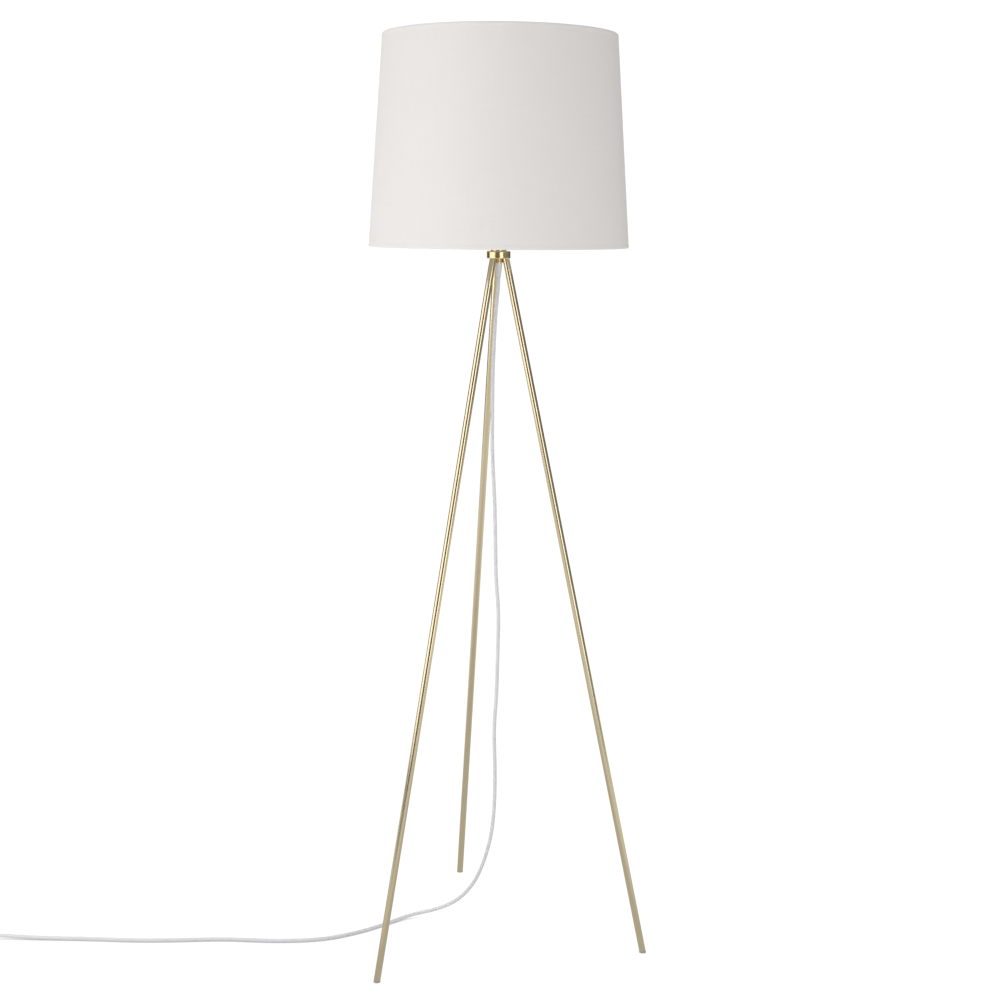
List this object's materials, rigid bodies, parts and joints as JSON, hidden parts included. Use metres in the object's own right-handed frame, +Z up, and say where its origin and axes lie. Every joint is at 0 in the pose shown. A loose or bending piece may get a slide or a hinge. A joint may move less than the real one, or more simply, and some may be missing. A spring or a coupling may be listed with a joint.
{
  "type": "tripod floor lamp",
  "caption": "Tripod floor lamp: satin gold tube legs screwed into a turned hub, tapered off-white fabric drum shade, screw lampholder with bulb, white fabric cord with foot switch and plug.",
  "frame": {"origin": "on the lamp's axis at floor level, midway between the three feet", "axes": "+Z up along the lamp's axis, +Y towards the rear leg, +X to the right as seen from the front"},
  "size_m": [1.2857, 0.4755, 1.5],
  "materials": {
    "brass_satin": "satin brushed gold plating",
    "shade_fabric": "off-white woven polycotton, plain weave",
    "shade_liner": "white styrene backing sheet",
    "white_wire": "white powder coat",
    "holder_plastic": "white thermoplastic",
    "carrier_plastic": "pale phenolic",
    "contact_brass": "bright brass",
    "zinc_steel": "zinc plated",
    "pad_rubber": "grey-green clear PVC, matt",
    "white_pvc": "soft white PVC",
    "cord_fabric": "white braided textile",
    "cord_tie_fabric": "white hook and loop tape",
    "opal_plastic": "opal polycarbonate",
    "bulb_plastic": "white, satin gloss",
    "bulb_cap_metal": "nickel plated",
    "black_glass": "black vitrite, glossy",
    "board_white": "white solder mask",
    "switch_plastic": "white ABS, satin gloss",
    "pin_metal": "nickel plated brass",
    "black_plastic": "black PA",
    "wire_brown": "brown PVC insulation",
    "wire_blue": "blue PVC insulation"
  },
  "bodies": {
    "lamp": {"hub": "brass_satin", "hub_collar": "brass_satin", "threaded_nipple": "zinc_steel", "cord_bush": "brass_satin", "strain_relief": "white_pvc", "cord_inside_hub": "cord_fabric", "leg_right": "brass_satin", "leg_rear": "brass_satin", "leg_left": "brass_satin", "leg_studs": "zinc_steel", "foot_pad_right": "pad_rubber", "foot_pad_rear": "pad_rubber", "foot_pad_left": "pad_rubber", "lampholder_cap": "holder_plastic", "lampholder_body": "holder_plastic", "contact_carrier": "carrier_plastic", "centre_contact": "contact_brass", "side_contact": "contact_brass", "terminal_screws": "contact_brass", "wire_live": "wire_brown", "wire_neutral": "wire_blue", "shade_ring_lower": "holder_plastic", "shade_ring_upper": "holder_plastic", "bulb_tip": "bulb_cap_metal", "bulb_insulator": "black_glass", "bulb_screw_cap": "bulb_cap_metal", "bulb_skirt": "bulb_plastic", "bulb_light_board": "board_white", "bulb_globe": "opal_plastic", "shade_wire_bottom": "white_wire", "shade_wire_top": "white_wire", "shade_fitter": "white_wire", "shade_spokes": "white_wire", "shade_liner": "shade_liner", "shade_fabric": "shade_fabric", "cord": "cord_fabric", "switch_base": "switch_plastic", "switch_cover": "switch_plastic", "switch_grommets": "white_pvc", "switch_cord_ends": "cord_fabric", "switch_mechanism": "carrier_plastic", "switch_terminals": "contact_brass", "switch_terminal_screws": "zinc_steel", "switch_spring": "zinc_steel", "switch_case_screws": "zinc_steel", "switch_pads": "pad_rubber", "cord_lead": "cord_fabric", "cord_coil": "cord_fabric", "coil_tie": "cord_tie_fabric", "cord_tail": "cord_fabric", "plug_body": "white_pvc", "plug_pins": "pin_metal", "plug_pin_sleeves": "black_plastic"},
    "button": {"switch_button": "switch_plastic"}
  },
  "joints": [
    {"name": "button_press", "type": "slide", "parent": "lamp", "child": "button", "axis": [0, 0, -1], "range_m": [0, 0.004], "stiffness_N_per_m": 1500, "springref_m": -0.004, "deforming": ["switch_spring"]}
  ]
}
